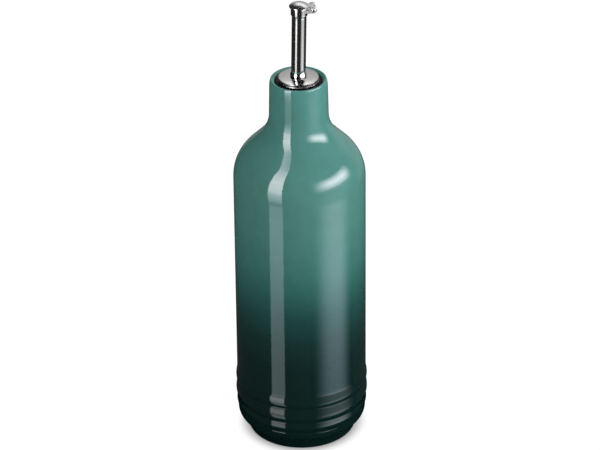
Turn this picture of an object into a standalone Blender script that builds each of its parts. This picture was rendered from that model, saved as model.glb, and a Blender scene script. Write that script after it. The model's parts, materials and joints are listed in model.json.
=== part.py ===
# Stoneware oil cruet: a turned bottle with a ribbed belt, a rubber stopper, a steel dish, a pouring tube
# and a hinged flap that shuts the tube. Metres, +Z up, origin on the floor under the bottle's axis.

import math

import bmesh
import bpy
from mathutils import Matrix

MM = 0.001
GAP = 0.3 * MM

# Bottle, heights from the floor
BODY_RADIUS = 38.0 * MM
SHOULDER_BASE_RADIUS = 37.9 * MM
SHOULDER_Z = 166.5 * MM
SHOULDER_ARC = 26.5 * MM
NECK_FILLET = 20.0 * MM
NECK_BASE_RADIUS = 16.95 * MM
NECK_RADIUS = 16.6 * MM
RIM_Z = 228.4 * MM
RIM_CREST_RADIUS = 15.5 * MM
RIM_HEIGHT = 5.5 * MM
BOTTLE_SEGMENTS = 48

# Belt above the foot, from the top groove down
BELT_TOP_Z = 38.9 * MM
GROOVE_RADIUS = 38.05 * MM
UPPER_GROOVE_Z = 31.4 * MM
LOWER_GROOVE_Z = 21.8 * MM
BULGE_GROOVE_Z = 14.7 * MM
BULGE_GROOVE_RADIUS = 37.45 * MM
UPPER_RIB_RISE = 0.66 * MM
BAND_RISE = 0.70 * MM
LOWER_RIB_RISE = 0.62 * MM

# Bulge under the belt, and the foot ring
BULGE_RADIUS = 37.65 * MM
BULGE_Z = 12.6 * MM
BULGE_HEIGHT = 5.4 * MM
BULGE_DEPTH = 4.45 * MM
FOOT_RADIUS = 31.6 * MM
FOOT_HEIGHT = 7.0 * MM
FOOT_EDGE = 0.5 * MM
FOOT_RING_WIDTH = 4.6 * MM
BASE_RECESS = 1.8 * MM

# Mouth: a wide seat for the stopper's flange and a blind socket for its plug
MOUTH_RADIUS = 13.5 * MM
MOUTH_EDGE_Z = 227.4 * MM
MOUTH_EDGE_ARC = 0.4 * MM
SEAT_Z = 224.0 * MM
SOCKET_RADIUS = 11.0 * MM
SOCKET_Z = 212.0 * MM

# Stopper and dish
FLANGE_RADIUS = MOUTH_RADIUS - GAP
FLANGE_Z = 227.0 * MM
FLANGE_EDGE = 0.4 * MM
PLUG_RADIUS = SOCKET_RADIUS - GAP
PLUG_Z = SOCKET_Z + 0.5 * MM
PLUG_CHAMFER = 0.8 * MM
DISH_RADIUS = 11.8 * MM
DISH_Z = FLANGE_Z + GAP
DISH_EDGE_Z = 229.25 * MM
DISH_BEND = 3.3
DISH_LIP = 0.35 * MM
DISH_CROWN_Z = 230.2 * MM
DISH_HOLE_RADIUS = 4.55 * MM
STOPPER_HOLE_RADIUS = 4.65 * MM

# Pourer, heights along its own axis from the dish's crown
POURER_LEAN = math.radians(1.2)
POURER_TURN = math.radians(7.4)
TUBE_RADIUS = 4.15 * MM
TUBE_BORE_RADIUS = 3.5 * MM
TUBE_TAIL = 8.0 * MM
FLARE_RADIUS = 4.7 * MM
FLARE_EDGE = 0.8 * MM
FLARE_HEIGHT = 1.3 * MM
COLLAR_RADIUS = 4.79 * MM
COLLAR_BASE = 38.1 * MM
COLLAR_TOP = 42.3 * MM
COLLAR_TAPER = 1.2 * MM
COLLAR_EDGE = 0.3 * MM
POURER_SEGMENTS = 36

# Hinge: two ears on the collar, a riveted pin and the flap's knuckle between them
HINGE_REACH = 7.7 * MM
HINGE_Z = 41.7 * MM
EAR_RADIUS = 1.9 * MM
EAR_THICKNESS = 1.3 * MM
EAR_OFFSET = 3.2 * MM
EAR_ROOT_X = 2.65 * MM
EAR_TOP = 42.2 * MM
PIN_RADIUS = 0.6 * MM
PIN_HEAD_RADIUS = 1.15 * MM
PIN_HEAD_THICKNESS = 0.5 * MM
KNUCKLE_RADIUS = 1.6 * MM
HINGE_SEGMENTS = 20

# Flap: a thin pressed dome over the collar's mouth
FLAP_RADIUS = 5.72 * MM
FLAP_Z = COLLAR_TOP + GAP
FLAP_EDGE = 0.7 * MM
FLAP_CROWN = 2.0 * MM
FLAP_WALL = 0.7 * MM
TONGUE_ROOT_X = 5.2 * MM


def clear_scene():
    for item in list(bpy.data.objects):
        bpy.data.objects.remove(item, do_unlink=True)


def make_collection(name):
    collection = bpy.data.collections.new(name)
    bpy.context.scene.collection.children.link(collection)
    return collection


def make_material(name, colour, roughness, metallic):
    material = bpy.data.materials.new(name)
    material.use_nodes = True
    shader = material.node_tree.nodes["Principled BSDF"]
    shader.inputs["Base Color"].default_value = (*colour, 1.0)
    shader.inputs["Roughness"].default_value = roughness
    shader.inputs["Metallic"].default_value = metallic
    return material


def arc(centre, radii, start, end, steps):
    """Points on an ellipse's arc about centre, from start to end in degrees."""
    points = []
    for step in range(steps + 1):
        angle = math.radians(start + (end - start) * step / steps)
        points.append((centre[0] + radii[0] * math.cos(angle), centre[1] + radii[1] * math.sin(angle)))
    return points


def swell(top, bottom, rise, steps):
    """A convex ring's outline between two (radius, height) points, without the points themselves."""
    points = []
    for step in range(1, steps):
        share = step / steps
        radius = top[0] + (bottom[0] - top[0]) * share + rise * (1.0 - (2.0 * share - 1.0) ** 2)
        points.append((radius, top[1] + (bottom[1] - top[1]) * share))
    return points


def turned(name, profile, segments, material, collection):
    """A closed solid turned about Z from (radius, height) points that run down its outer side."""
    mesh = bpy.data.meshes.new(name)
    edges = [(index, index + 1) for index in range(len(profile) - 1)]
    if profile[0][0] > 0.0:
        edges.append((len(profile) - 1, 0))
    mesh.from_pydata([(radius, 0.0, height) for radius, height in profile], edges, [])
    turned_object = bpy.data.objects.new(name, mesh)
    collection.objects.link(turned_object)
    screw = turned_object.modifiers.new("Turn", "SCREW")
    screw.steps = segments
    screw.render_steps = segments
    screw.use_merge_vertices = True
    screw.merge_threshold = 0.00001
    screw.use_normal_calculate = False
    apply_modifiers(turned_object)
    finish_mesh(turned_object, material)
    return turned_object


def plate(name, outline, thickness, material, collection):
    """A flat plate in the XZ plane, centred on Y = 0, from a closed outline of (x, z) points."""
    curve = bpy.data.curves.new(name, "CURVE")
    curve.dimensions = "2D"
    curve.fill_mode = "BOTH"
    curve.extrude = thickness / 2.0
    spline = curve.splines.new("POLY")
    spline.points.add(len(outline) - 1)
    for point, (x, z) in zip(spline.points, outline):
        point.co = (x, z, 0.0, 1.0)
    spline.use_cyclic_u = True
    curve_object = bpy.data.objects.new(name, curve)
    curve_object.rotation_euler = (math.pi / 2.0, 0.0, 0.0)
    collection.objects.link(curve_object)
    bpy.context.view_layer.update()
    evaluated = curve_object.evaluated_get(bpy.context.evaluated_depsgraph_get())
    mesh = bpy.data.meshes.new_from_object(evaluated)
    mesh.transform(curve_object.matrix_world)
    bpy.data.objects.remove(curve_object, do_unlink=True)
    weld(mesh)
    plate_object = bpy.data.objects.new(name, mesh)
    collection.objects.link(plate_object)
    finish_mesh(plate_object, material)
    return plate_object


def weld(mesh):
    shape = bmesh.new()
    shape.from_mesh(mesh)
    bmesh.ops.remove_doubles(shape, verts=shape.verts, dist=0.001 * MM)
    bmesh.ops.recalc_face_normals(shape, faces=shape.faces)
    shape.to_mesh(mesh)
    shape.free()


def finish_mesh(item, material):
    item.data.materials.clear()
    item.data.materials.append(material)
    item.data.shade_smooth()
    item.data.set_sharp_from_angle(angle=math.radians(35.0))


def apply_modifiers(item):
    bpy.context.view_layer.update()
    evaluated = item.evaluated_get(bpy.context.evaluated_depsgraph_get())
    mesh = bpy.data.meshes.new_from_object(evaluated)
    item.modifiers.clear()
    item.data = mesh


def combine(item, other, operation):
    boolean = item.modifiers.new(operation.title(), "BOOLEAN")
    boolean.operation = operation
    boolean.object = other
    boolean.solver = "EXACT"


def place(item, parent, location=(0.0, 0.0, 0.0)):
    item.parent = parent
    item.location = location


def cross_turned(name, profile, material, collection):
    """A small solid turned about the hinge's axis, which runs along Y."""
    item = turned(name, profile, HINGE_SEGMENTS, material, collection)
    item.data.transform(Matrix.Rotation(-math.pi / 2.0, 4, "X"))
    return item


def pin_hole(name, half_length, material, collection):
    radius = PIN_RADIUS + GAP
    outline = [(0.0, half_length), (radius, half_length), (radius, -half_length), (0.0, -half_length)]
    return cross_turned(name, outline, material, collection)


def bottle_profile():
    slope_radius = SHOULDER_BASE_RADIUS - SHOULDER_ARC * (1.0 - math.cos(math.pi / 4.0))
    slope_z = SHOULDER_Z + SHOULDER_ARC * math.sin(math.pi / 4.0)
    fillet_radius = NECK_BASE_RADIUS + NECK_FILLET * (1.0 - math.cos(math.pi / 4.0))
    fillet_z = slope_z + slope_radius - fillet_radius
    neck_z = fillet_z + NECK_FILLET * math.sin(math.pi / 4.0)

    profile = [(0.0, SOCKET_Z), (SOCKET_RADIUS, SOCKET_Z), (SOCKET_RADIUS, SEAT_Z), (MOUTH_RADIUS, SEAT_Z)]
    inner = (MOUTH_RADIUS + MOUTH_EDGE_ARC, MOUTH_EDGE_Z - MOUTH_EDGE_ARC)
    profile += arc(inner, (MOUTH_EDGE_ARC, MOUTH_EDGE_ARC), 180.0, 110.0, 3)
    crest = (RIM_CREST_RADIUS, RIM_Z - RIM_HEIGHT)
    profile += arc(crest, (NECK_RADIUS - RIM_CREST_RADIUS, RIM_HEIGHT), 100.0, 0.0, 10)
    fillet = (NECK_BASE_RADIUS + NECK_FILLET, neck_z)
    profile += arc(fillet, (NECK_FILLET, NECK_FILLET), 180.0, 225.0, 8)
    shoulder = (SHOULDER_BASE_RADIUS - SHOULDER_ARC, SHOULDER_Z)
    profile += arc(shoulder, (SHOULDER_ARC, SHOULDER_ARC), 45.0, 0.0, 9)

    belt_top = (BODY_RADIUS, BELT_TOP_Z)
    upper_groove = (GROOVE_RADIUS, UPPER_GROOVE_Z)
    lower_groove = (GROOVE_RADIUS, LOWER_GROOVE_Z)
    bulge_groove = (BULGE_GROOVE_RADIUS, BULGE_GROOVE_Z)
    profile += [belt_top, *swell(belt_top, upper_groove, UPPER_RIB_RISE, 6)]
    profile += [upper_groove, *swell(upper_groove, lower_groove, BAND_RISE, 6)]
    profile += [lower_groove, *swell(lower_groove, bulge_groove, LOWER_RIB_RISE, 6), bulge_groove]

    bulge = (BULGE_RADIUS - BULGE_DEPTH, BULGE_Z)
    profile += arc(bulge, (BULGE_DEPTH, BULGE_HEIGHT), 0.0, -90.0, 8)
    profile += [(FOOT_RADIUS, FOOT_HEIGHT), (FOOT_RADIUS, FOOT_EDGE), (FOOT_RADIUS - FOOT_EDGE, 0.0)]
    ring_inner = FOOT_RADIUS - FOOT_RING_WIDTH
    profile += [(ring_inner, 0.0), (ring_inner - FOOT_EDGE, BASE_RECESS), (0.0, BASE_RECESS)]
    return profile


def stopper_profile():
    return [
        (STOPPER_HOLE_RADIUS, FLANGE_Z),
        (FLANGE_RADIUS - FLANGE_EDGE, FLANGE_Z),
        (FLANGE_RADIUS, FLANGE_Z - FLANGE_EDGE),
        (FLANGE_RADIUS, SEAT_Z + GAP),
        (PLUG_RADIUS, SEAT_Z + GAP),
        (PLUG_RADIUS, PLUG_Z + PLUG_CHAMFER),
        (PLUG_RADIUS - PLUG_CHAMFER, PLUG_Z),
        (STOPPER_HOLE_RADIUS, PLUG_Z),
    ]


def dish_profile():
    """A nearly flat disc that bends down faster and faster towards its lip."""
    fall = DISH_CROWN_Z - DISH_EDGE_Z
    reach = DISH_RADIUS - DISH_LIP - DISH_HOLE_RADIUS
    dome = []
    for step in range(9):
        radius = DISH_HOLE_RADIUS + reach * step / 8.0
        dome.append((radius, DISH_CROWN_Z - fall * (radius / DISH_RADIUS) ** DISH_BEND))
    lip_z = dome[-1][1] - DISH_LIP
    lip = arc((DISH_RADIUS - DISH_LIP, lip_z), (DISH_LIP, DISH_LIP), 60.0, 0.0, 3)
    return dome + lip + [(DISH_RADIUS, DISH_Z), (DISH_HOLE_RADIUS, DISH_Z)]


def tube_profile():
    flare_top = GAP + FLARE_EDGE
    return [
        (TUBE_BORE_RADIUS, COLLAR_TOP),
        (COLLAR_RADIUS - COLLAR_EDGE, COLLAR_TOP),
        (COLLAR_RADIUS, COLLAR_TOP - COLLAR_EDGE),
        (COLLAR_RADIUS, COLLAR_BASE),
        (TUBE_RADIUS, COLLAR_BASE - COLLAR_TAPER),
        (TUBE_RADIUS, flare_top + FLARE_HEIGHT),
        (FLARE_RADIUS, flare_top),
        (FLARE_RADIUS, GAP),
        (TUBE_RADIUS, GAP),
        (TUBE_RADIUS, -TUBE_TAIL),
        (TUBE_BORE_RADIUS, -TUBE_TAIL),
    ]


def ear_outline():
    rise = math.degrees(math.asin((EAR_TOP - HINGE_Z) / EAR_RADIUS))
    end = arc((HINGE_REACH, HINGE_Z), (EAR_RADIUS, EAR_RADIUS), -90.0, 180.0 - rise, 16)
    return [(EAR_ROOT_X, HINGE_Z - EAR_RADIUS), *end, (EAR_ROOT_X, EAR_TOP)]


def pin_profile():
    head = EAR_OFFSET + EAR_THICKNESS / 2.0 + GAP
    end = head + PIN_HEAD_THICKNESS
    dome = arc((0.0, head), (PIN_HEAD_RADIUS, PIN_HEAD_THICKNESS), 90.0, 0.0, 4)
    half = [(0.0, end), *dome[1:], (PIN_RADIUS, head)]
    return half + [(radius, -height) for radius, height in reversed(half)]


def flap_profile():
    """The flap's dome about the tube's axis, seen from the hinge's centre."""
    base = FLAP_Z - HINGE_Z
    edge = base + FLAP_EDGE
    dome_radius = (FLAP_RADIUS ** 2 + FLAP_CROWN ** 2) / (2.0 * FLAP_CROWN)
    centre = (0.0, edge + FLAP_CROWN - dome_radius)
    outer = math.degrees(math.acos(FLAP_RADIUS / dome_radius))
    inner_radius = dome_radius - FLAP_WALL
    inner = math.degrees(math.asin((base - centre[1]) / inner_radius))
    profile = arc(centre, (dome_radius, dome_radius), 90.0, outer, 7)
    profile += [(FLAP_RADIUS, base)]
    profile += arc(centre, (inner_radius, inner_radius), inner, 90.0, 5)
    profile[0] = (0.0, profile[0][1])
    profile[-1] = (0.0, profile[-1][1])
    return profile


def tongue_outline():
    """The flap's arm and knuckle about the hinge's centre."""
    root = TONGUE_ROOT_X - HINGE_REACH
    base = FLAP_Z - HINGE_Z
    heel = math.degrees(math.asin(base / KNUCKLE_RADIUS))
    knuckle = arc((0.0, 0.0), (KNUCKLE_RADIUS, KNUCKLE_RADIUS), 90.0, -180.0 - heel, 16)
    return [(root, base), (root, KNUCKLE_RADIUS), *knuckle]


def make_pourer_axis(collection):
    axis = bpy.data.objects.new("pourer_axis", None)
    axis.location = (0.0, 0.0, DISH_CROWN_Z)
    axis.rotation_euler = (0.0, POURER_LEAN, POURER_TURN)
    collection.objects.link(axis)
    hinge = bpy.data.objects.new("hinge_axis", None)
    collection.objects.link(hinge)
    place(hinge, axis, (HINGE_REACH, 0.0, HINGE_Z))
    return axis, hinge


def make_tube(material, collection, cutters, axis):
    tube = turned("tube", tube_profile(), POURER_SEGMENTS, material, collection)
    place(tube, axis)
    for side in (-1.0, 1.0):
        ear = plate("ear_outline", ear_outline(), EAR_THICKNESS, material, cutters)
        place(ear, axis, (0.0, side * EAR_OFFSET, 0.0))
        combine(tube, ear, "UNION")
    hole = pin_hole("ear_hole", 2.0 * EAR_OFFSET, material, cutters)
    place(hole, axis, (HINGE_REACH, 0.0, HINGE_Z))
    combine(tube, hole, "DIFFERENCE")


def make_flap(material, collection, cutters, hinge):
    flap = turned("flap", flap_profile(), POURER_SEGMENTS, material, collection)
    for vertex in flap.data.vertices:
        vertex.co.x -= HINGE_REACH
    place(flap, hinge)
    width = 2.0 * (EAR_OFFSET - EAR_THICKNESS / 2.0 - GAP)
    tongue = plate("tongue_outline", tongue_outline(), width, material, cutters)
    place(tongue, hinge)
    combine(flap, tongue, "UNION")
    hole = pin_hole("knuckle_hole", EAR_OFFSET, material, cutters)
    place(hole, hinge)
    combine(flap, hole, "DIFFERENCE")


def make_pin(material, collection, hinge):
    pin = cross_turned("hinge_pin", pin_profile(), material, collection)
    place(pin, hinge)


def hide_cutters(cutters):
    for cutter in cutters.objects:
        cutter.hide_render = True
        cutter.display_type = "WIRE"


def main():
    clear_scene()
    parts = make_collection("oil_cruet")
    cutters = make_collection("cutters")
    glaze = make_material("green_glaze", (0.045, 0.15, 0.125), 0.12, 0.0)
    rubber = make_material("black_rubber", (0.012, 0.012, 0.012), 0.6, 0.0)
    satin_steel = make_material("satin_steel", (0.62, 0.61, 0.6), 0.32, 1.0)
    polished_steel = make_material("polished_steel", (0.7, 0.7, 0.7), 0.08, 1.0)

    turned("bottle", bottle_profile(), BOTTLE_SEGMENTS, glaze, parts)
    turned("stopper", stopper_profile(), POURER_SEGMENTS, rubber, parts)
    turned("dish", dish_profile(), POURER_SEGMENTS, satin_steel, parts)
    axis, hinge = make_pourer_axis(parts)
    make_tube(polished_steel, parts, cutters, axis)
    make_pin(polished_steel, parts, hinge)
    make_flap(polished_steel, parts, cutters, hinge)
    hide_cutters(cutters)


main()
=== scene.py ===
import json
import math

import bmesh
import bpy
import numpy as np
from mathutils import Matrix, Vector


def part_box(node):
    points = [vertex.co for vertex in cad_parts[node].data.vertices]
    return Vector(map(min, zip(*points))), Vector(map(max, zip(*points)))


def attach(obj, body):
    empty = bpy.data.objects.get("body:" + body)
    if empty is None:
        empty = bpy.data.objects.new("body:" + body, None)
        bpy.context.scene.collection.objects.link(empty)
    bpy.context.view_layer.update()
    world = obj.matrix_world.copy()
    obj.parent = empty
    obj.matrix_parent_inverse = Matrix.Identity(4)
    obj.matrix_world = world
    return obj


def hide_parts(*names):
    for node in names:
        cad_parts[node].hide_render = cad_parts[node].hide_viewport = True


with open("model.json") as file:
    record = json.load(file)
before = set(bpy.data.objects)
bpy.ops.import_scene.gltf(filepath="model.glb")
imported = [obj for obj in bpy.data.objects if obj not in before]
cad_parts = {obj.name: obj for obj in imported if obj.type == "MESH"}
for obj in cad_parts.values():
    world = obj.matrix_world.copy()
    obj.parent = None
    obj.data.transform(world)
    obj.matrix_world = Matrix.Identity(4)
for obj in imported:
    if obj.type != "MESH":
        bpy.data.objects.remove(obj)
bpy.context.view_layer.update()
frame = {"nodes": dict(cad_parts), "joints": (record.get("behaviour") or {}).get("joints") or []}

print("frame loaded:", len(frame["nodes"]), "solids")

mm = 0.001  # sizes in the dictionaries below are millimetres, angles are degrees


# places taken from the frame

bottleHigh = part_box("bottle")[1]
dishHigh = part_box("dish")[1]
flapHinge = frame["joints"][0]
hingePoint = Vector(flapHinge["pos_m"])
hingeLine = Vector(flapHinge["axis"])
rim = bottleHigh.z / mm
crown = dishHigh.z / mm

pourer = {
    "tubeRadius": 4.15,
    "boreRadius": 3.5,
    "tail": 8.0,
    "flareRadius": 4.7,
    "flareEdge": 0.8,
    "flareHeight": 1.3,
    "footGap": 0.3,
    "collarRadius": 4.79,
    "collarBase": 38.1,
    "collarTop": 42.3,
    "collarTaper": 0.9,
    "lipRoll": 0.3,
    "blur": 0.07,
    "longest": 1.5,
    "segments": 128,
    "hingeReach": 7.7,
    "earRadius": 1.9,
    "earThickness": 1.3,
    "earOffset": 3.2,
    "earRoot": 2.65,
    "earTop": 42.2,
    "earBevel": 0.22,
    "earMargin": 0.02,
    "pinRadius": 0.6,
    "pinHeadRadius": 1.15,
    "pinHeadThickness": 0.5,
    "pinBlur": 0.06,
    "pinLongest": 0.8,
    "pinSegments": 64,
    "drillSegments": 48,
    "gap": 0.3,
}

# the pourer stands on the dish's crown, turned and leaning a little, as its hinge says
turn = math.atan2(-hingeLine.x, hingeLine.y)
hingeArm = Matrix.Rotation(-turn, 3, "Z") @ (hingePoint - Vector((0.0, 0.0, crown * mm))) / mm
hingeHeight = math.sqrt(hingeArm.x ** 2 + hingeArm.z ** 2 - pourer["hingeReach"] ** 2)
lean = math.atan2(hingeArm.x, hingeArm.z) - math.atan2(pourer["hingeReach"], hingeHeight)
pourerPlace = (
    Matrix.Translation((0.0, 0.0, crown * mm))
    @ Matrix.Rotation(turn, 4, "Z")
    @ Matrix.Rotation(lean, 4, "Y")
)
hingePlace = pourerPlace @ Matrix.Translation((pourer["hingeReach"] * mm, 0.0, hingeHeight * mm))


# outlines and meshes

def arcPoints(centre, radii, start, end, steps=24):
    points = []
    for step in range(steps + 1):
        angle = math.radians(start + (end - start) * step / steps)
        points.append((centre[0] + radii[0] * math.cos(angle), centre[1] + radii[1] * math.sin(angle)))
    return points


def ribPoints(top, bottom, rise, sag, steps=24):
    # a raised rib's outline between two grooves; the more it sags, the lower it is fullest
    points = []
    for step in range(1, steps):
        share = step / steps
        radius = top[0] + (bottom[0] - top[0]) * share + rise * (1.0 - (2.0 * share ** sag - 1.0) ** 2)
        points.append((radius, top[1] + (bottom[1] - top[1]) * share))
    return points


def softened(points, blur, longest, bend=3.5, closed=False):
    # walks the outline in even steps and rounds it by a bell curve, then keeps a point after each turn
    # of bend degrees or after the longest stretch
    path = np.array(points + points[:1] if closed else points, float)
    along = np.concatenate(([0.0], np.cumsum(np.hypot(*np.diff(path, axis=0).T))))
    perBlur = 4.0  # steps in one blur width
    spacing = blur / perBlur
    count = int(along[-1] / spacing) + 1
    even = np.linspace(0.0, along[-1], count, endpoint=not closed)
    reach = 14  # steps on either side that count, three and a half blur widths
    bell = np.exp(-0.5 * (np.arange(-reach, reach + 1) / perBlur) ** 2)
    bell /= bell.sum()
    sides = {"mode": "wrap"} if closed else {"mode": "reflect", "reflect_type": "odd"}
    smooth = []
    for column in (0, 1):
        values = np.interp(even, along, path[:, column])
        smooth.append(np.convolve(np.pad(values, reach, **sides), bell, "valid"))
    smooth = np.array(smooth).T

    heading = np.unwrap(np.arctan2(*np.diff(smooth, axis=0).T[::-1]))
    kept = [0]
    for index in range(1, count - 1):
        turned = abs(heading[index] - heading[kept[-1]])
        stretch = (index - kept[-1]) * spacing
        if turned > math.radians(bend) or stretch > longest:
            kept.append(index)
    if not closed:
        kept.append(count - 1)
    return [tuple(smooth[index]) for index in kept]


def turnedMesh(name, outline, segments, closed=False):
    # rings about Z; the outline runs down the outer side, and a point at radius 0 is a pole
    shape = bmesh.new()
    rings = []
    for radius, height in outline:
        if radius < 1e-6:
            rings.append([shape.verts.new((0.0, 0.0, height * mm))])
            continue
        ring = []
        for step in range(segments):
            angle = 2.0 * math.pi * step / segments
            ring.append(shape.verts.new(
                (radius * mm * math.cos(angle), radius * mm * math.sin(angle), height * mm)))
        rings.append(ring)
    pairs = list(zip(rings, rings[1:]))
    if closed:
        pairs.append((rings[-1], rings[0]))
    for upper, lower in pairs:
        for step in range(segments):
            after = (step + 1) % segments
            corners = [upper[step % len(upper)], lower[step % len(lower)],
                       lower[after % len(lower)], upper[after % len(upper)]]
            shape.faces.new(list(dict.fromkeys(corners)))
    return meshObject(name, shape)


def plateMesh(name, outline, thickness, bevel):
    # a flat plate in the XZ plane with rounded edges
    shape = bmesh.new()
    corners = [shape.verts.new((x * mm, -0.5 * thickness * mm, z * mm)) for x, z in outline]
    face = shape.faces.new(corners)
    grown = bmesh.ops.extrude_face_region(shape, geom=[face])
    moved = [item for item in grown["geom"] if isinstance(item, bmesh.types.BMVert)]
    bmesh.ops.translate(shape, verts=moved, vec=(0.0, thickness * mm, 0.0))
    bmesh.ops.recalc_face_normals(shape, faces=shape.faces)
    rims = [edge for edge in shape.edges if edge.verts[0].co.y * edge.verts[1].co.y > 0.0]
    bmesh.ops.bevel(shape, geom=rims, offset=bevel * mm, segments=4, profile=0.5, affect="EDGES")
    return meshObject(name, shape)


def meshObject(name, shape):
    mesh = bpy.data.meshes.new(name)
    shape.to_mesh(mesh)
    shape.free()
    piece = bpy.data.objects.new(name, mesh)
    bpy.context.scene.collection.objects.link(piece)
    return piece


def joinInto(piece, other, how):  # an exact Boolean, applied at once
    bpy.context.view_layer.update()
    change = piece.modifiers.new(how.title(), "BOOLEAN")
    change.operation = how
    change.object = other
    change.solver = "EXACT"
    bpy.context.view_layer.update()
    mesh = bpy.data.meshes.new_from_object(piece.evaluated_get(bpy.context.evaluated_depsgraph_get()))
    piece.modifiers.clear()
    piece.data = mesh
    bpy.data.objects.remove(other, do_unlink=True)


def finishPiece(piece, materials, body, node, crease=None):
    piece.data.materials.clear()
    for material in materials:
        piece.data.materials.append(material)
    piece.data.shade_smooth()
    if crease is not None:
        piece.data.set_sharp_from_angle(angle=math.radians(crease))
    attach(piece, body)
    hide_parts(node)
    print("made", piece.name, len(piece.data.polygons), "faces")


# material helpers

def tone(red, green, blue):  # screen levels of 0 to 255 as a linear colour
    colour = []
    for level in (red / 255.0, green / 255.0, blue / 255.0):
        colour.append(level / 12.92 if level <= 0.04045 else ((level + 0.055) / 1.055) ** 2.4)
    return (*colour, 1.0)


def addNode(tree, kind, **settings):
    item = tree.nodes.new(kind)
    for name, value in settings.items():
        setattr(item, name, value)
    return item


def feed(item, **values):
    for name, value in values.items():
        item.inputs[name].default_value = value
    return item


def newMaterial(name):
    material = bpy.data.materials.new(name)
    material.use_nodes = True
    tree = material.node_tree
    return material, tree, tree.nodes["Principled BSDF"]


def newGroup(name, inputs, outputs):
    group = bpy.data.node_groups.new(name, "ShaderNodeTree")
    for label, kind, value in inputs:
        socket = group.interface.new_socket(name=label, in_out="INPUT", socket_type=kind)
        if value is not None:
            socket.default_value = value
    for label, kind in outputs:
        group.interface.new_socket(name=label, in_out="OUTPUT", socket_type=kind)
    return group, group.nodes.new("NodeGroupInput"), group.nodes.new("NodeGroupOutput")


def useGroup(tree, group, vector, **values):
    item = tree.nodes.new("ShaderNodeGroup")
    item.node_tree = group
    tree.links.new(vector, item.inputs["Vector"])
    for name, value in values.items():
        item.inputs[name].default_value = value
    return item


def objectPoint(tree):
    return tree.nodes.new("ShaderNodeTexCoord").outputs["Object"]


def smudgeGroup():  # a value that drifts between two levels, for fingered metal and uneven gloss
    group, source, result = newGroup(
        "smudge",
        [("Vector", "NodeSocketVector", None), ("Scale", "NodeSocketFloat", 60.0),
         ("Low", "NodeSocketFloat", 0.1), ("High", "NodeSocketFloat", 0.2)],
        [("Value", "NodeSocketFloat")])
    cloud = feed(addNode(group, "ShaderNodeTexNoise"), Detail=4.0, Roughness=0.6)
    spread = feed(addNode(group, "ShaderNodeMapRange", interpolation_type="SMOOTHSTEP"),
                  **{"From Min": 0.32, "From Max": 0.68})
    group.links.new(source.outputs["Vector"], cloud.inputs["Vector"])
    group.links.new(source.outputs["Scale"], cloud.inputs["Scale"])
    group.links.new(cloud.outputs["Fac"], spread.inputs["Value"])
    group.links.new(source.outputs["Low"], spread.inputs["To Min"])
    group.links.new(source.outputs["High"], spread.inputs["To Max"])
    group.links.new(spread.outputs["Result"], result.inputs["Value"])
    return group


def mottleGroup():  # breaks an even colour into faint lighter and darker clouds
    group, source, result = newGroup(
        "mottle",
        [("Vector", "NodeSocketVector", None), ("Colour", "NodeSocketColor", None),
         ("Scale", "NodeSocketFloat", 80.0), ("Darkest", "NodeSocketFloat", 0.9),
         ("Lightest", "NodeSocketFloat", 1.1)],
        [("Colour", "NodeSocketColor")])
    cloud = feed(addNode(group, "ShaderNodeTexNoise"), Detail=5.0, Roughness=0.62)
    spread = feed(addNode(group, "ShaderNodeMapRange"), **{"From Min": 0.3, "From Max": 0.7})
    shade = addNode(group, "ShaderNodeVectorMath", operation="SCALE")
    group.links.new(source.outputs["Vector"], cloud.inputs["Vector"])
    group.links.new(source.outputs["Scale"], cloud.inputs["Scale"])
    group.links.new(cloud.outputs["Fac"], spread.inputs["Value"])
    group.links.new(source.outputs["Darkest"], spread.inputs["To Min"])
    group.links.new(source.outputs["Lightest"], spread.inputs["To Max"])
    group.links.new(source.outputs["Colour"], shade.inputs[0])
    group.links.new(spread.outputs["Result"], shade.inputs["Scale"])
    group.links.new(shade.outputs["Vector"], result.inputs["Colour"])
    return group


def grainGroup():  # fine polishing lines: noise drawn out by a stretch along each axis
    group, source, result = newGroup(
        "grain",
        [("Vector", "NodeSocketVector", None), ("Stretch", "NodeSocketVector", (1.0, 1.0, 1.0)),
         ("Scale", "NodeSocketFloat", 900.0)],
        [("Height", "NodeSocketFloat")])
    squeeze = addNode(group, "ShaderNodeVectorMath", operation="MULTIPLY")
    cloud = feed(addNode(group, "ShaderNodeTexNoise"), Detail=3.0, Roughness=0.55)
    group.links.new(source.outputs["Vector"], squeeze.inputs[0])
    group.links.new(source.outputs["Stretch"], squeeze.inputs[1])
    group.links.new(squeeze.outputs["Vector"], cloud.inputs["Vector"])
    group.links.new(source.outputs["Scale"], cloud.inputs["Scale"])
    group.links.new(cloud.outputs["Fac"], result.inputs["Height"])
    return group


def addBump(tree, shader, height, strength, distance):
    bump = feed(addNode(tree, "ShaderNodeBump"), Strength=strength, Distance=distance)
    tree.links.new(height, bump.inputs["Height"])
    tree.links.new(bump.outputs["Normal"], shader.inputs["Normal"])


smudge = smudgeGroup()
mottle = mottleGroup()
grain = grainGroup()


# glazed bottle

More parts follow.
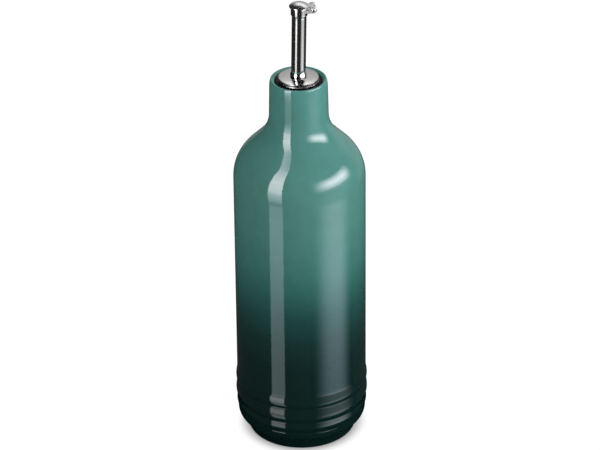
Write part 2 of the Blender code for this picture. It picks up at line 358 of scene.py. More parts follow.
bottle = {
    "socketRadius": 11.0,
    "socketHeight": 212.0,
    "mouthRadius": 13.5,
    "mouthEdge": 227.4,
    "mouthEdgeArc": 0.4,
    "seatHeight": 224.0,
    "rimCrestRadius": 15.5,
    "rimRounding": 5.5,
    "neckRadius": 16.6,
    "neckBase": 16.95,
    "neckFillet": 20.0,
    "shoulderRadius": 37.9,
    "shoulderHeight": 166.5,
    "shoulderArc": 26.5,
    "bodyRadius": 38.0,
    "beltTop": 38.9,
    "grooves": ((38.05, 31.4), (38.05, 21.8), (37.45, 14.7)),
    "rises": (0.66, 0.70, 0.62),
    "sag": 1.7,
    "bulgeRadius": 37.65,
    "bulgeHeight": 12.6,
    "bulgeDepth": 4.45,
    "bulgeDrop": 5.4,
    "footRadius": 31.6,
    "footHeight": 7.0,
    "footEdge": 0.5,
    "footWidth": 4.6,
    "recess": 1.8,
    "bareHeight": 0.2,
    "blur": 0.42,
    "longest": 2.2,
    "segments": 256,
}


def bottleOutline(sizes):
    half = math.sqrt(0.5)
    slopeRadius = sizes["shoulderRadius"] - sizes["shoulderArc"] * (1.0 - half)
    slopeHeight = sizes["shoulderHeight"] + sizes["shoulderArc"] * half
    filletRadius = sizes["neckBase"] + sizes["neckFillet"] * (1.0 - half)
    neckHeight = slopeHeight + slopeRadius - filletRadius + sizes["neckFillet"] * half

    socket, seat = sizes["socketRadius"], sizes["seatHeight"]
    mouth, edge, crest = sizes["mouthRadius"], sizes["mouthEdgeArc"], sizes["rimCrestRadius"]
    outline = [(0.0, sizes["socketHeight"]), (socket, sizes["socketHeight"]), (socket, seat)]
    outline += [(mouth, seat)]
    outline += arcPoints((mouth + edge, sizes["mouthEdge"] - edge), (edge, edge), 180.0, 110.0, 8)
    rounding = (sizes["neckRadius"] - crest, sizes["rimRounding"])
    outline += arcPoints((crest, rim - rounding[1]), rounding, 100.0, 0.0, 40)
    fillet = (sizes["neckBase"] + sizes["neckFillet"], neckHeight)
    outline += arcPoints(fillet, (sizes["neckFillet"],) * 2, 180.0, 225.0)
    shoulder = (sizes["shoulderRadius"] - sizes["shoulderArc"], sizes["shoulderHeight"])
    outline += arcPoints(shoulder, (sizes["shoulderArc"],) * 2, 45.0, 0.0)

    above = (sizes["bodyRadius"], sizes["beltTop"])
    outline += [above]
    for groove, rise in zip(sizes["grooves"], sizes["rises"]):
        outline += ribPoints(above, groove, rise, sizes["sag"]) + [groove]
        above = groove
    bulge = (sizes["bulgeRadius"] - sizes["bulgeDepth"], sizes["bulgeHeight"])
    outline += arcPoints(bulge, (sizes["bulgeDepth"], sizes["bulgeDrop"]), 0.0, -90.0)
    foot, ease = sizes["footRadius"], sizes["footEdge"]
    ring = foot - sizes["footWidth"]
    outline += [(foot, sizes["footHeight"]), (foot, ease), (foot - ease, 0.0), (ring, 0.0)]
    outline += [(ring - ease, sizes["recess"]), (0.0, sizes["recess"])]
    return outline


# in each look, scales are those of the colour's clouds, of the roughness and of the fine relief
glaze = {
    # height, colour: teal at the neck, nearly black green at the foot
    "stops": (
        (0.0, (10, 29, 27)),
        (58.0, (15, 37, 35)),
        (76.0, (21, 50, 46)),
        (92.0, (31, 70, 67)),
        (108.0, (46, 94, 88)),
        (124.0, (60, 111, 104)),
        (145.0, (71, 123, 115)),
        (170.0, (77, 128, 121)),
        (228.4, (79, 135, 128)),
    ),
    "drift": 5.0,
    "driftScale": 28.0,
    "roughness": (0.035, 0.06),
    "peel": 0.02,
    "scales": (140.0, 45.0, 260.0),
}


def glazeMaterial(look):
    material, tree, shader = newMaterial("greenGlaze")
    point = objectPoint(tree)
    # the height, pushed up and down a little so that the sprayed colours meet unevenly
    split = addNode(tree, "ShaderNodeSeparateXYZ")
    cloud = feed(addNode(tree, "ShaderNodeTexNoise"), Scale=look["driftScale"], Detail=3.0)
    drift = feed(addNode(tree, "ShaderNodeMapRange"),
                 **{"To Min": -look["drift"] * mm, "To Max": look["drift"] * mm})
    height = addNode(tree, "ShaderNodeMath", operation="ADD")
    share = feed(addNode(tree, "ShaderNodeMapRange"), **{"From Max": rim * mm})
    ramp = addNode(tree, "ShaderNodeValToRGB")
    ramp.color_ramp.interpolation = "LINEAR"
    marks = ramp.color_ramp.elements
    while len(marks) < len(look["stops"]):
        marks.new(0.5)
    for mark, (level, colour) in zip(marks, look["stops"]):
        mark.position = level / rim
        mark.color = tone(*colour)
    tree.links.new(point, split.inputs["Vector"])
    tree.links.new(point, cloud.inputs["Vector"])
    tree.links.new(cloud.outputs["Fac"], drift.inputs["Value"])
    tree.links.new(split.outputs["Z"], height.inputs[0])
    tree.links.new(drift.outputs["Result"], height.inputs[1])
    tree.links.new(height.outputs["Value"], share.inputs["Value"])
    tree.links.new(share.outputs["Result"], ramp.inputs["Fac"])

    cloudScale, glossScale, peelScale = look["scales"]
    clouds = useGroup(tree, mottle, point, Scale=cloudScale, Darkest=0.95, Lightest=1.05)
    tree.links.new(ramp.outputs["Color"], clouds.inputs["Colour"])
    tree.links.new(clouds.outputs["Colour"], shader.inputs["Base Color"])
    low, high = look["roughness"]
    gloss = useGroup(tree, smudge, point, Scale=glossScale, Low=low, High=high)
    tree.links.new(gloss.outputs["Value"], shader.inputs["Roughness"])
    peel = useGroup(tree, grain, point, Scale=peelScale)
    addBump(tree, shader, peel.outputs["Height"], look["peel"], 1.0 * mm)
    return material


clay = {
    "colour": (176, 160, 138),
    "roughness": (0.75, 0.9),
    "tooth": 0.35,
    "scales": (420.0, 300.0, 1500.0),
}


def clayMaterial(look):  # the bare ring that the glazed pot stands on in the kiln
    material, tree, shader = newMaterial("bareClay")
    point = objectPoint(tree)
    cloudScale, dullScale, toothScale = look["scales"]
    clouds = useGroup(tree, mottle, point, Scale=cloudScale, Darkest=0.72, Lightest=1.12)
    clouds.inputs["Colour"].default_value = tone(*look["colour"])
    tree.links.new(clouds.outputs["Colour"], shader.inputs["Base Color"])
    low, high = look["roughness"]
    dull = useGroup(tree, smudge, point, Scale=dullScale, Low=low, High=high)
    tree.links.new(dull.outputs["Value"], shader.inputs["Roughness"])
    tooth = useGroup(tree, grain, point, Scale=toothScale)
    addBump(tree, shader, tooth.outputs["Height"], look["tooth"], 0.2 * mm)
    return material


def makeBottle():
    outline = softened(bottleOutline(bottle), bottle["blur"], bottle["longest"])
    piece = turnedMesh("glazedBottle", outline, bottle["segments"])
    finishPiece(piece, [glazeMaterial(glaze), clayMaterial(clay)], "cruet", "bottle")
    for face in piece.data.polygons:  # the faces that stand on the table are wiped free of glaze
        if face.center.z < bottle["bareHeight"] * mm and face.normal.z < -0.9:
            face.material_index = 1
    return piece


# rubber stopper

stopper = {
    "flangeRadius": 13.2,
    "flangeTop": 227.0,
    "flangeBase": 224.3,
    "flangeEdge": 0.3,
    "plugRadius": 10.7,
    "plugBase": 212.5,
    "plugChamfer": 0.8,
    "holeRadius": 4.65,
    "ribs": 3,
    "ribDepth": 0.35,
    "blur": 0.14,
    "longest": 1.2,
    "segments": 160,
}


def stopperOutline(sizes):
    top, base = sizes["flangeBase"], sizes["plugBase"] + sizes["plugChamfer"]
    plug, depth = sizes["plugRadius"], sizes["ribDepth"]
    flange, edge = sizes["flangeRadius"], sizes["flangeEdge"]
    outline = [
        (sizes["holeRadius"], sizes["flangeTop"]),
        (flange - edge, sizes["flangeTop"]),
        (flange, sizes["flangeTop"] - edge),
        (flange, top + edge),
        (flange - edge, top),
        (plug - depth, top),
    ]
    pitch = (top - base) / sizes["ribs"]
    for rib in range(sizes["ribs"]):  # the plug's sealing ribs
        upper = top - pitch * rib
        outline += [(plug - depth, upper - 0.25 * pitch), (plug, upper - 0.5 * pitch)]
        outline += [(plug, upper - 0.9 * pitch), (plug - depth, upper - pitch)]
    outline += [(plug - sizes["plugChamfer"], sizes["plugBase"])]
    return outline + [(sizes["holeRadius"], sizes["plugBase"])]


rubber = {
    "colour": (10, 11, 11),
    "roughness": (0.5, 0.65),
    "specular": 0.2,
    "pores": 0.12,
    "scales": (300.0, 240.0, 2400.0),
}


def rubberMaterial(look):
    material, tree, shader = newMaterial("blackRubber")
    point = objectPoint(tree)
    cloudScale, dullScale, poreScale = look["scales"]
    clouds = useGroup(tree, mottle, point, Scale=cloudScale, Darkest=0.8, Lightest=1.25)
    clouds.inputs["Colour"].default_value = tone(*look["colour"])
    shader.inputs["Specular IOR Level"].default_value = look["specular"]
    tree.links.new(clouds.outputs["Colour"], shader.inputs["Base Color"])
    low, high = look["roughness"]
    dull = useGroup(tree, smudge, point, Scale=dullScale, Low=low, High=high)
    tree.links.new(dull.outputs["Value"], shader.inputs["Roughness"])
    pores = useGroup(tree, grain, point, Scale=poreScale)
    addBump(tree, shader, pores.outputs["Height"], look["pores"], 0.1 * mm)
    return material


def makeStopper():
    outline = softened(stopperOutline(stopper), stopper["blur"], stopper["longest"], closed=True)
    piece = turnedMesh("rubberStopper", outline, stopper["segments"], closed=True)
    finishPiece(piece, [rubberMaterial(rubber)], "cruet", "stopper")
    return piece


# steel dish

dish = {
    "radius": 11.8,
    "base": 227.3,
    "edge": 229.25,
    "bend": 3.3,
    "flatReach": 11.3,
    "wall": 11.5,
    "wallTop": 229.1,
    "undercut": 0.17,
    "lipTop": 228.2,
    "lipEdge": 227.7,
    "tuck": 0.2,
    "holeRadius": 4.55,
    "blur": 0.07,
    "longest": 0.6,
    "segments": 192,
}


def dishOutline(sizes):
    # nearly flat in the middle, bending down faster and faster towards the lip
    outline = []
    for radius in np.linspace(sizes["holeRadius"], sizes["flatReach"], 40):
        fall = (crown - sizes["edge"]) * (radius / sizes["radius"]) ** sizes["bend"]
        outline.append((float(radius), crown - fall))
    # the wall leans in a little under the dome, down to a small flared lip
    radius, wall = sizes["radius"], sizes["wall"]
    outline += [(wall, sizes["wallTop"]), (wall - sizes["undercut"], sizes["lipTop"])]
    outline += [(radius, sizes["lipEdge"]), (radius - sizes["tuck"], sizes["base"])]
    return outline + [(sizes["holeRadius"], sizes["base"])]


dishSteel = {
    "colour": (0.60, 0.59, 0.58, 1.0),
    "roughness": (0.12, 0.17),
    "lines": 0.03,
    # a band of painted shade over the edge and wall, which dims their glints
    "edgeHeight": (229.15, 229.5),
    "edgePaintedShade": 0.42,
    "edgeRoughness": 0.3,
    "scales": (260.0, 220.0, 5000.0),
}


def dishMaterial(look):
    material, tree, shader = newMaterial("satinSteel")
    point = objectPoint(tree)
    shader.inputs["Metallic"].default_value = 1.0
    cloudScale, filmScale, lineScale = look["scales"]
    clouds = useGroup(tree, mottle, point, Scale=cloudScale, Darkest=0.94, Lightest=1.04)
    clouds.inputs["Colour"].default_value = look["colour"]
    low, high = look["roughness"]
    film = useGroup(tree, smudge, point, Scale=filmScale, Low=low, High=high)
    # painted shade: the pressed edge and wall are darkened by height, which dims their glints, and are
    # made duller than the polished top
    split = addNode(tree, "ShaderNodeSeparateXYZ")
    tree.links.new(point, split.inputs["Vector"])
    foot, top = look["edgeHeight"]
    band = {"From Min": foot * mm, "From Max": top * mm}
    shade = feed(addNode(tree, "ShaderNodeMapRange", interpolation_type="SMOOTHSTEP"),
                 **band, **{"To Min": look["edgePaintedShade"]})
    dull = feed(addNode(tree, "ShaderNodeMapRange", interpolation_type="SMOOTHSTEP"),
                **band, **{"To Min": look["edgeRoughness"], "To Max": 0.0})
    paintedShadeColour = addNode(tree, "ShaderNodeVectorMath", operation="SCALE")
    rougher = addNode(tree, "ShaderNodeMath", operation="MAXIMUM")
    tree.links.new(split.outputs["Z"], shade.inputs["Value"])
    tree.links.new(split.outputs["Z"], dull.inputs["Value"])
    tree.links.new(clouds.outputs["Colour"], paintedShadeColour.inputs[0])
    tree.links.new(shade.outputs["Result"], paintedShadeColour.inputs["Scale"])
    tree.links.new(paintedShadeColour.outputs["Vector"], shader.inputs["Base Color"])
    tree.links.new(film.outputs["Value"], rougher.inputs[0])
    tree.links.new(dull.outputs["Result"], rougher.inputs[1])
    tree.links.new(rougher.outputs["Value"], shader.inputs["Roughness"])
    # lathe lines: the distance from the axis, drawn round the dish
    flat = addNode(tree, "ShaderNodeVectorMath", operation="MULTIPLY")
    flat.inputs[1].default_value = (1.0, 1.0, 0.0)
    reach = addNode(tree, "ShaderNodeVectorMath", operation="LENGTH")
    rings = addNode(tree, "ShaderNodeCombineXYZ")
    tree.links.new(point, flat.inputs[0])
    tree.links.new(flat.outputs["Vector"], reach.inputs[0])
    tree.links.new(reach.outputs["Value"], rings.inputs["X"])
    lines = useGroup(tree, grain, rings.outputs["Vector"], Scale=lineScale)
    addBump(tree, shader, lines.outputs["Height"], look["lines"], 0.05 * mm)
    return material


def makeDish():
    outline = softened(dishOutline(dish), dish["blur"], dish["longest"], closed=True)
    piece = turnedMesh("steelDish", outline, dish["segments"], closed=True)
    finishPiece(piece, [dishMaterial(dishSteel)], "cruet", "dish")
    return piece


# steels of the tube, of the pin and the flap, and of the ears; stretch draws the polishing lines out

polish = {
    "colour": (0.54, 0.535, 0.52, 1.0),
    "roughness": (0.1, 0.14),
    "metallic": 1.0,
    "lines": 0.02,
    "stretch": (1.0, 1.0, 0.02),
    "scales": (320.0, 260.0, 2600.0),
}
bright = {
    "colour": (0.68, 0.675, 0.66, 1.0),
    "roughness": (0.2, 0.26),
    "metallic": 1.0,
    "lines": 0.02,
    "stretch": (1.0, 1.0, 1.0),
    "scales": (320.0, 260.0, 2600.0),
}
satin = {
    "colour": (0.62, 0.615, 0.60, 1.0),
    "roughness": (0.36, 0.44),
    "metallic": 0.5,
    "lines": 0.03,
    "stretch": (1.0, 1.0, 1.0),
    "scales": (320.0, 260.0, 2600.0),
}


def polishMaterial(name, look):
    material, tree, shader = newMaterial(name)
    point = objectPoint(tree)
    shader.inputs["Metallic"].default_value = look["metallic"]
    cloudScale, filmScale, lineScale = look["scales"]
    clouds = useGroup(tree, mottle, point, Scale=cloudScale, Darkest=0.95, Lightest=1.03)
    clouds.inputs["Colour"].default_value = look["colour"]
    tree.links.new(clouds.outputs["Colour"], shader.inputs["Base Color"])
    low, high = look["roughness"]
    film = useGroup(tree, smudge, point, Scale=filmScale, Low=low, High=high)
    tree.links.new(film.outputs["Value"], shader.inputs["Roughness"])
    lines = useGroup(tree, grain, point, Scale=lineScale, Stretch=look["stretch"])
    addBump(tree, shader, lines.outputs["Height"], look["lines"], 0.05 * mm)
    return material


def tubeOutline(sizes):
    tube, collar, bore = sizes["tubeRadius"], sizes["collarRadius"], sizes["boreRadius"]
    gap, roll, top = sizes["footGap"], sizes["lipRoll"], sizes["collarTop"]
    flareTop = gap + sizes["flareEdge"]
    outline = [(bore, top - roll)]
    outline += arcPoints((bore + roll, top - roll), (roll, roll), 180.0, 90.0, 6)[1:]
    outline += arcPoints((collar - roll, top - roll), (roll, roll), 90.0, 0.0, 6)
    outline += [
        (collar, sizes["collarBase"]),
        (tube, sizes["collarBase"] - sizes["collarTaper"]),
        (tube, flareTop + sizes["flareHeight"]),
        (sizes["flareRadius"], flareTop),
        (sizes["flareRadius"], gap),
        (tube, gap),
        (tube, -sizes["tail"]),
        (bore, -sizes["tail"]),
    ]
    return outline


def earOutline(sizes):
    radius, root, top = sizes["earRadius"], sizes["earRoot"], sizes["earTop"]
    rise = math.degrees(math.asin((top - hingeHeight) / radius))
    end = arcPoints((sizes["hingeReach"], hingeHeight), (radius, radius), -90.0, 180.0 - rise, 40)
    return [(root, hingeHeight - radius), *end, (root, top)]


def hingeDrill(name, radius, halfLength):  # a straight drill along the hinge's line
    outline = [(0.0, halfLength), (radius, halfLength), (radius, -halfLength), (0.0, -halfLength)]
    drill = turnedMesh(name, outline, pourer["drillSegments"])
    drill.data.transform(Matrix.Rotation(-math.pi / 2.0, 4, "X"))
    return drill


def makeTube():
    sizes = pourer
    outline = softened(tubeOutline(sizes), sizes["blur"], sizes["longest"], closed=True)
    piece = turnedMesh("pouringTube", outline, sizes["segments"], closed=True)
    for side in (-1.0, 1.0):
        ear = plateMesh("ear", earOutline(sizes), sizes["earThickness"], sizes["earBevel"])
        ear.data.transform(Matrix.Translation((0.0, side * sizes["earOffset"] * mm, 0.0)))
        joinInto(piece, ear, "UNION")
    drill = hingeDrill("earDrill", sizes["pinRadius"] + sizes["gap"], 2.0 * sizes["earOffset"])
    drill.data.transform(Matrix.Translation((sizes["hingeReach"] * mm, 0.0, hingeHeight * mm)))
    joinInto(piece, drill, "DIFFERENCE")
    piece.data.transform(pourerPlace)
    steels = [polishMaterial("tubeSteel", polish), polishMaterial("earSteel", satin)]
    finishPiece(piece, steels, "cruet", "tube", crease=35.0)
    upright = pourerPlace.inverted()
    for face in piece.data.polygons:  # whatever sticks out of the collar is an ear, duller than the tube
        if (upright @ face.center).x > (sizes["collarRadius"] + sizes["earMargin"]) * mm:
            face.material_index = 1
    return piece


def makePin():
    sizes = pourer
    head = sizes["earOffset"] + sizes["earThickness"] / 2.0 + sizes["gap"]
    cap = arcPoints((0.0, head), (sizes["pinHeadRadius"], sizes["pinHeadThickness"]), 90.0, 0.0)
    half = [(0.0, head + sizes["pinHeadThickness"]), *cap[1:], (sizes["pinRadius"], head)]
    outline = half + [(radius, -height) for radius, height in reversed(half)]
    outline = softened(outline, sizes["pinBlur"], sizes["pinLongest"])
    piece = turnedMesh("hingePin", outline, sizes["pinSegments"])
    piece.data.transform(hingePlace @ Matrix.Rotation(-math.pi / 2.0, 4, "X"))
    steel = polishMaterial("pinSteel", {**bright, "stretch": (1.0, 0.05, 1.0)})
    finishPiece(piece, [steel], "cruet", "hinge_pin", crease=35.0)
    return piece


# hinged flap

flap = {
    "radius": 5.72,
    "edge": 0.7,
    "crown": 2.0,
    "wall": 0.7,
    "tongueRoot": 5.2,
    "knuckleRadius": 1.6,
    "tongueBevel": 0.15,
    "blur": 0.07,
    "longest": 0.6,
    "segments": 160,
}


def flapOutline(sizes):  # heights from the hinge's centre
    base = pourer["collarTop"] + pourer["gap"] - hingeHeight
    edge = base + sizes["edge"]
    dome = (sizes["radius"] ** 2 + sizes["crown"] ** 2) / (2.0 * sizes["crown"])
    centre = (0.0, edge + sizes["crown"] - dome)
    outer = math.degrees(math.acos(sizes["radius"] / dome))
    inner = math.degrees(math.asin((base - centre[1]) / (dome - sizes["wall"])))
    outline = arcPoints(centre, (dome, dome), 90.0, outer)
    outline += [(sizes["radius"], base)]
    outline += arcPoints(centre, (dome - sizes["wall"],) * 2, inner, 90.0)
    outline[0] = (0.0, outline[0][1])
    outline[-1] = (0.0, outline[-1][1])
    return outline


def tongueOutline(sizes):
    root = sizes["tongueRoot"] - pourer["hingeReach"]
    base = pourer["collarTop"] + pourer["gap"] - hingeHeight
    radius = sizes["knuckleRadius"]
    heel = math.degrees(math.asin(base / radius))
    knuckle = arcPoints((0.0, 0.0), (radius, radius), 90.0, -180.0 - heel, 48)
    return [(root, base), (root, radius), *knuckle]


def makeFlap():
    outline = softened(flapOutline(flap), flap["blur"], flap["longest"])
    piece = turnedMesh("domedFlap", outline, flap["segments"])
    piece.data.transform(Matrix.Translation((-pourer["hingeReach"] * mm, 0.0, 0.0)))
    width = 2.0 * (pourer["earOffset"] - pourer["earThickness"] / 2.0 - pourer["gap"])
    tongue = plateMesh("tongue", tongueOutline(flap), width, flap["tongueBevel"])
    joinInto(piece, tongue, "UNION")
    drill = hingeDrill("knuckleDrill", pourer["pinRadius"] + pourer["gap"], pourer["earOffset"])
    joinInto(piece, drill, "DIFFERENCE")
    piece.data.transform(hingePlace)
    steel = polishMaterial("flapSteel", bright)
    finishPiece(piece, [steel], "flap", "flap", crease=35.0)
    return piece


# studio

view = {
    "place": (0.0, -1.6238, 1.0575),
    "aim": (0.0, 0.0, 0.1333),
    "roll": -0.611,
    "lens": 194.3,
    "sensor": 36.0,
    "near": 0.05,
    "far": 60.0,
}


def makeCamera():
    lens = bpy.data.cameras.new("camera")
    lens.lens = view["lens"]
    lens.sensor_width = view["sensor"]
    lens.sensor_fit = "HORIZONTAL"
    lens.clip_start = view["near"]
    lens.clip_end = view["far"]
    camera = bpy.data.objects.new("camera", lens)
    place = Vector(view["place"])
    facing = (Vector(view["aim"]) - place).to_track_quat("-Z", "Y").to_matrix().to_4x4()
    camera.matrix_world = (
        Matrix.Translation(place) @ facing @ Matrix.Rotation(math.radians(view["roll"]), 4, "Z"))
    bpy.context.scene.collection.objects.link(camera)
    bpy.context.scene.camera = camera


floorLook = {
    "halfSize": 8.0,
    "level": 0.95,
    # reach and range of the painted contact shadow in the floor's glow
    "paintedShadowReach": 20.0,
    "paintedShadowRange": (0.12, 0.6),
    "darkest": 0.05,
    "lightest": 1.04,
    "darkRadius": 62.0,
    "darkHeight": 0.05,
}


def makeFloor():
    shape = bmesh.new()
    bmesh.ops.create_grid(shape, x_segments=8, y_segments=8, size=floorLook["halfSize"])
    floor = meshObject("floor", shape)
    material, tree, shader = newMaterial("paleFloor")
    # matt for the light it gives back; to the camera an even white glow with a painted contact shadow
    # close to the foot, drawn from ambient occlusion
    rays = addNode(tree, "ShaderNodeLightPath")
    level = feed(addNode(tree, "ShaderNodeMapRange"), **{"To Min": floorLook["level"], "To Max": 0.0})
    near = addNode(tree, "ShaderNodeAmbientOcclusion", samples=16)
    near.inputs["Distance"].default_value = floorLook["paintedShadowReach"] * mm
    low, high = floorLook["paintedShadowRange"]
    white = feed(addNode(tree, "ShaderNodeMapRange"), **{"From Min": low, "From Max": high})
    feed(white, **{"To Min": floorLook["darkest"], "To Max": floorLook["lightest"]})
    seen = addNode(tree, "ShaderNodeMath", operation="MULTIPLY")
    tree.links.new(rays.outputs["Is Camera Ray"], level.inputs["Value"])
    tree.links.new(level.outputs["Result"], shader.inputs["Base Color"])
    tree.links.new(near.outputs["AO"], white.inputs["Value"])
    tree.links.new(white.outputs["Result"], seen.inputs[0])
    tree.links.new(rays.outputs["Is Camera Ray"], seen.inputs[1])
    tree.links.new(seen.outputs["Value"], shader.inputs["Emission Strength"])
    shader.inputs["Emission Color"].default_value = (1.0, 1.0, 1.0, 1.0)
    shader.inputs["Roughness"].default_value = 1.0
    shader.inputs["Specular IOR Level"].default_value = 0.0
    material.cycles.emission_sampling = "NONE"
    floor.data.materials.append(material)
    floor.visible_glossy = False  # the gloss sees the parts of the cards that lie below the floor instead
    floor.visible_shadow = False


def onlyInGloss(piece):
    for ray in ("camera", "diffuse", "transmission", "volume_scatter", "shadow"):
        setattr(piece, "visible_" + ray, False)


def makeFootShade():
    # a black round under the foot that only the gloss sees, so that the bright strips end there
    shape = bmesh.new()
    bmesh.ops.create_circle(shape, cap_ends=True, segments=96, radius=floorLook["darkRadius"] * mm)
    shade = meshObject("footShade", shape)
    shade.location.z = floorLook["darkHeight"] * mm
    material, tree, shader = newMaterial("footBlack")
    shader.inputs["Base Color"].default_value = (0.0, 0.0, 0.0, 1.0)
    shader.inputs["Specular IOR Level"].default_value = 0.0
    shade.data.materials.append(material)
    onlyInGloss(shade)


# Cards that only the gloss sees. An azimuth runs from the camera's side towards its right, an elevation
# starts at the cruet, and each level is an elevation, a brightness, and the shares of red and blue in it.
# Sides are the shares of the card's width over which it fades out to the left and to the right.
cards = (
    {"name": "cardLeft", "azimuth": (-56.0, -28.5), "sides": (0.12, 0.08), "levels": (
        (-52.0, 0.3, 0.8, 1.0), (-40.0, 1.6, 0.8, 1.02), (-33.0, 1.65, 0.8, 1.02),
        (-31.0, 2.1, 0.84, 1.06), (-29.5, 2.3, 0.95, 1.04), (-27.8, 1.9, 1.0, 1.02),
        (-26.9, 1.0, 1.0, 1.0), (-25.0, 0.95, 1.0, 1.0), (-22.5, 2.2, 1.0, 1.0),
        (-15.0, 4.0, 0.9, 1.02), (-6.0, 5.6, 0.9, 1.02), (3.0, 9.0, 1.05, 1.04),
        (25.0, 10.8, 1.05, 1.04), (38.0, 9.0, 1.05, 1.04), (52.0, 6.5, 1.05, 1.06),
        (66.0, 0.0, 1.0, 1.0))},
    {"name": "cardRight", "azimuth": (16.0, 104.0), "sides": (0.5, 0.47), "levels": (
        (-52.0, 0.3, 0.65, 1.1), (-40.0, 1.2, 0.65, 1.1), (-34.0, 1.6, 0.68, 1.1),
        (-32.0, 2.35, 0.74, 1.13), (-30.7, 3.0, 0.82, 1.13), (-28.7, 2.0, 1.0, 1.08),
        (-26.0, 1.05, 1.0, 1.02), (-20.0, 0.95, 0.82, 1.08), (-8.0, 0.9, 0.82, 1.08),
        (4.0, 0.0, 1.0, 1.0))},
    {"name": "cardRightTop", "azimuth": (14.0, 110.0), "sides": (0.5, 0.32), "levels": (
        (-6.0, 0.0, 1.0, 1.0), (2.0, 3.0, 1.08, 1.08), (9.0, 8.0, 1.08, 1.08),
        (15.0, 13.0, 1.08, 1.06), (21.0, 10.0, 1.08, 1.06), (30.0, 0.0, 1.0, 1.0))},
    {"name": "cardBack", "azimuth": (104.0, 214.0), "sides": (0.3, 0.25), "levels": (
        (-24.0, 0.0, 1.0, 1.0), (-12.0, 0.35, 1.0, 1.05), (12.0, 0.5, 1.0, 1.02),
        (28.0, 0.62, 1.0, 1.0), (38.0, 0.85, 1.0, 1.0), (46.0, 1.5, 1.0, 1.0),
        (56.0, 1.6, 1.0, 1.0), (68.0, 0.0, 1.0, 1.0))},
)
cardDistance = 3.0
cardCentre = Vector((0.0, 0.0, 0.15))
cardSteps = 24


def cardDirection(azimuth, elevation):
    across, up = math.radians(azimuth), math.radians(elevation)
    return Vector((math.sin(across) * math.cos(up), -math.cos(across) * math.cos(up), math.sin(up)))


def makeCard(card):  # a patch of a large sphere about the cruet, with a chart of its width and height
    steps = cardSteps
    shape = bmesh.new()
    chart = shape.loops.layers.uv.new("card")
    low, high = card["levels"][0][0], card["levels"][-1][0]
    left, right = card["azimuth"]
    rows = []
    for row in range(steps + 1):
        elevation = low + (high - low) * row / steps
        line = []
        for column in range(steps + 1):
            azimuth = left + (right - left) * column / steps
            line.append(shape.verts.new(cardCentre + cardDistance * cardDirection(azimuth, elevation)))
        rows.append(line)
    for row in range(steps):
        for column in range(steps):
            places = ((row, column), (row, column + 1), (row + 1, column + 1), (row + 1, column))
            face = shape.faces.new([rows[r][c] for r, c in places])
            for loop, (r, c) in zip(face.loops, places):
                loop[chart].uv = (c / steps, r / steps)
    piece = meshObject(card["name"], shape)
    piece.data.materials.append(cardMaterial(card))
    onlyInGloss(piece)


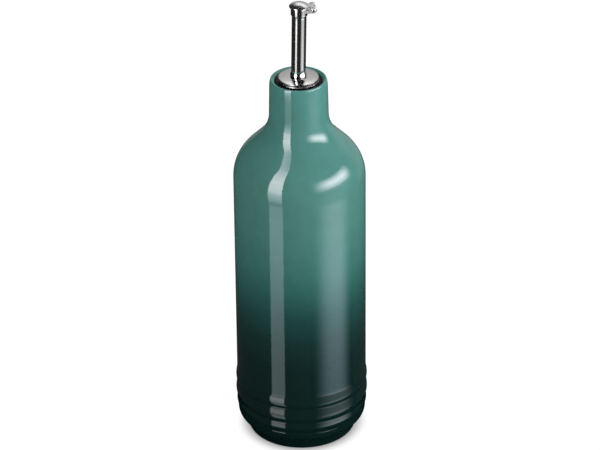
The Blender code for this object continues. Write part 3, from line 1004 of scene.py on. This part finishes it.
def cardMaterial(card):
    material, tree, shader = newMaterial(card["name"])
    tree.nodes.remove(shader)
    split = addNode(tree, "ShaderNodeSeparateXYZ")
    tree.links.new(addNode(tree, "ShaderNodeUVMap", uv_map="card").outputs["UV"], split.inputs["Vector"])
    low, high = card["levels"][0][0], card["levels"][-1][0]
    strongest = max(stop[1] for stop in card["levels"])
    ramp = addNode(tree, "ShaderNodeValToRGB")
    marks = ramp.color_ramp.elements
    while len(marks) < len(card["levels"]):
        marks.new(0.5)
    for mark, (elevation, level, red, blue) in zip(marks, card["levels"]):
        share = level / strongest
        mark.position = (elevation - low) / (high - low)
        mark.color = (red * share, share, blue * share, 1.0)
    tree.links.new(split.outputs["Y"], ramp.inputs["Fac"])
    rise = feed(addNode(tree, "ShaderNodeMapRange", interpolation_type="SMOOTHERSTEP"),
                **{"From Min": 0.0, "From Max": card["sides"][0]})
    fall = feed(addNode(tree, "ShaderNodeMapRange", interpolation_type="SMOOTHERSTEP"),
                **{"From Min": 1.0, "From Max": 1.0 - card["sides"][1]})
    both = addNode(tree, "ShaderNodeMath", operation="MULTIPLY")
    tree.links.new(split.outputs["X"], rise.inputs["Value"])
    tree.links.new(split.outputs["X"], fall.inputs["Value"])
    tree.links.new(rise.outputs["Result"], both.inputs[0])
    tree.links.new(fall.outputs["Result"], both.inputs[1])
    faded = addNode(tree, "ShaderNodeVectorMath", operation="SCALE")
    tree.links.new(ramp.outputs["Color"], faded.inputs[0])
    tree.links.new(both.outputs["Value"], faded.inputs["Scale"])
    glow = feed(addNode(tree, "ShaderNodeEmission"), Strength=strongest)
    tree.links.new(faded.outputs["Vector"], glow.inputs["Color"])
    tree.links.new(glow.outputs["Emission"], tree.nodes["Material Output"].inputs["Surface"])
    material.cycles.emission_sampling = "NONE"
    return material


room = {"seen": 1.0, "ambient": 0.62, "glossy": 0.03}


def makeWorld():
    # white behind the table, an even glow for the matt light, nearly nothing for the gloss
    world = bpy.data.worlds.new("studio")
    bpy.context.scene.world = world
    world.use_nodes = True
    world.cycles.sampling_method = "NONE"
    tree = world.node_tree
    backdrop = tree.nodes["Background"]
    backdrop.inputs["Color"].default_value = (1.0, 1.0, 1.0, 1.0)
    rays = addNode(tree, "ShaderNodeLightPath")
    glossy = feed(addNode(tree, "ShaderNodeMix"), A=room["ambient"], B=room["glossy"])
    seen = feed(addNode(tree, "ShaderNodeMix"), B=room["seen"])
    tree.links.new(rays.outputs["Is Glossy Ray"], glossy.inputs["Factor"])
    tree.links.new(glossy.outputs["Result"], seen.inputs["A"])
    tree.links.new(rays.outputs["Is Camera Ray"], seen.inputs["Factor"])
    tree.links.new(seen.outputs["Result"], backdrop.inputs["Strength"])


keyLight = {"azimuth": 62.0, "elevation": 32.0, "distance": 1.6, "size": 1.4, "radiance": 3.35}


def makeLight(name, look):
    lamp = bpy.data.lights.new(name, "AREA")
    lamp.shape = "SQUARE"
    lamp.size = look["size"]
    lamp.energy = look["radiance"] * math.pi * look["size"] ** 2
    light = bpy.data.objects.new(name, lamp)
    toward = cardDirection(look["azimuth"], look["elevation"])
    facing = toward.to_track_quat("Z", "Y").to_matrix().to_4x4()
    light.matrix_world = Matrix.Translation(cardCentre + look["distance"] * toward) @ facing
    light.visible_camera = False
    light.visible_glossy = False
    bpy.context.scene.collection.objects.link(light)


makeCamera()
makeFloor()
makeFootShade()
for card in cards:
    makeCard(card)
makeWorld()
makeLight("keyLight", keyLight)
bpy.context.scene.view_settings.view_transform = "Standard"
bpy.context.scene.view_settings.look = "None"
print("studio ready")

makeBottle()
makeStopper()
makeDish()
makeTube()
makePin()
makeFlap()
